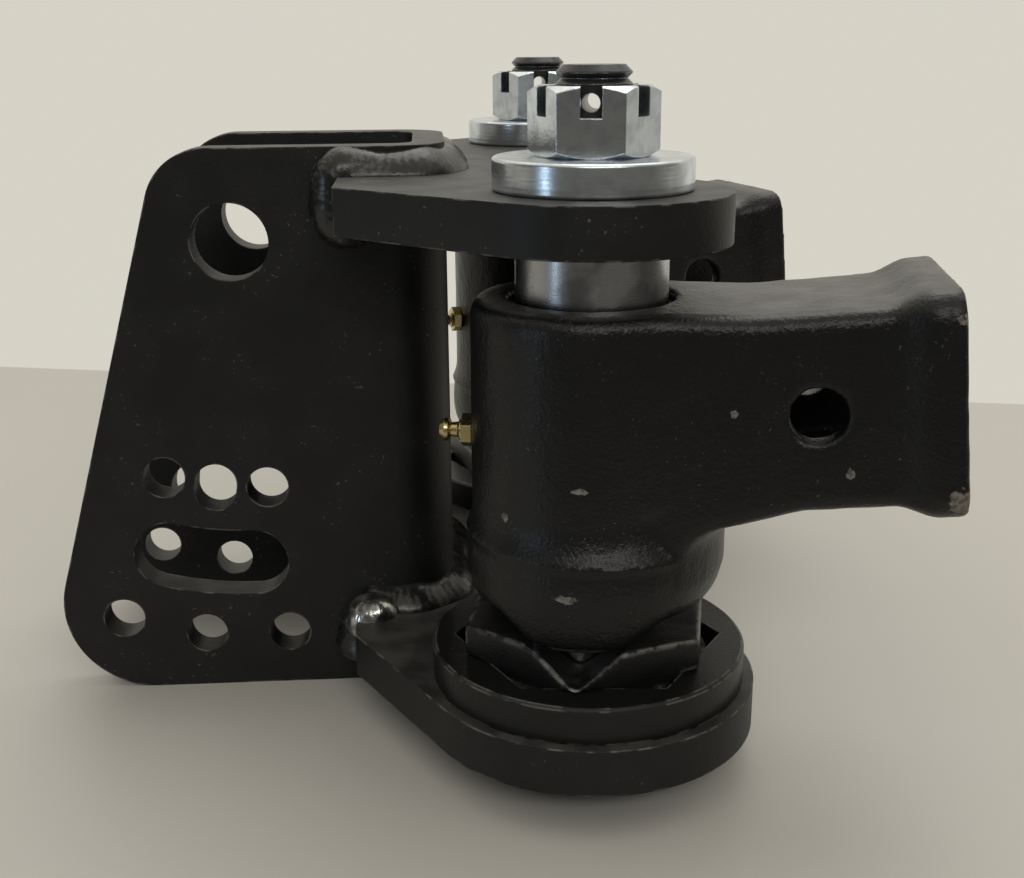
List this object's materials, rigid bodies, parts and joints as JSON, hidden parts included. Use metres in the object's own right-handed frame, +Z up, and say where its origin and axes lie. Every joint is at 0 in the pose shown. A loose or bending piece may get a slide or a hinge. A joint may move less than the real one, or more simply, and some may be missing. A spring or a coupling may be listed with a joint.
{
  "type": "weight distribution hitch head",
  "caption": "Steel hitch head with a slotted shank channel, a ball platform and two swivelling spring bar sockets over notched cams.",
  "frame": {"origin": "centre of the ball hole at the top platform's upper face, midway between the two pivot axes", "axes": "+X towards the trailer, away from the shank channel; +Y along the platform from the left to the right pivot, seen from the shank's side; +Z up along the ball's shank"},
  "size_m": [0.2523, 0.2584, 0.1872],
  "materials": {
    "powder_coat": "satin black powder coat over hot-rolled steel plate, worn on the edges",
    "weld_paint": "black powder coat over rippled weld beads, a little glossier than the plates",
    "cam_paint": "gloss black paint over forged steel",
    "casting_paint": "gloss black dipped paint over cast steel, chipped at the mouth",
    "bare_steel": "drawn steel tube, greased",
    "zinc_plate": "bright zinc plating",
    "bolt_steel": "black oxide, partly painted",
    "bronze": "plain sintered bronze",
    "fitting_zinc": "yellow zinc plated fitting"
  },
  "bodies": {
    "frame": {"shank_channel": "powder_coat", "ball_plate": "powder_coat", "lower_plate": "powder_coat", "upper_weld": "weld_paint", "lower_weld": "weld_paint", "lower_under_weld": "weld_paint", "left_ear_weld": "weld_paint", "left_under_weld": "weld_paint", "left_foot_weld": "weld_paint", "left_cam_seat": "cam_paint", "left_cam_crown": "cam_paint", "left_pivot_sleeve": "bare_steel", "left_pivot_bolt": "bolt_steel", "left_castle_nut": "zinc_plate", "left_top_washer": "zinc_plate", "right_ear_weld": "weld_paint", "right_under_weld": "weld_paint", "right_foot_weld": "weld_paint", "right_cam_seat": "cam_paint", "right_cam_crown": "cam_paint", "right_pivot_sleeve": "bare_steel", "right_pivot_bolt": "bolt_steel", "right_castle_nut": "zinc_plate", "right_top_washer": "zinc_plate"},
    "left_arm": {"left_socket": "casting_paint", "left_lower_bushing": "bronze", "left_upper_bushing": "bronze", "left_grease_fitting": "fitting_zinc"},
    "right_arm": {"right_socket": "casting_paint", "right_lower_bushing": "bronze", "right_upper_bushing": "bronze", "right_grease_fitting": "fitting_zinc"}
  },
  "joints": [
    {"name": "left_swing", "type": "hinge", "parent": "frame", "child": "left_arm", "pos_m": [0, -0.08, -0.1323], "axis": [0, 0, 1], "range_deg": [-57, 45]},
    {"name": "right_swing", "type": "hinge", "parent": "frame", "child": "right_arm", "pos_m": [0, 0.08, -0.1323], "axis": [0, 0, 1], "range_deg": [-46.5, 55.5]}
  ]
}
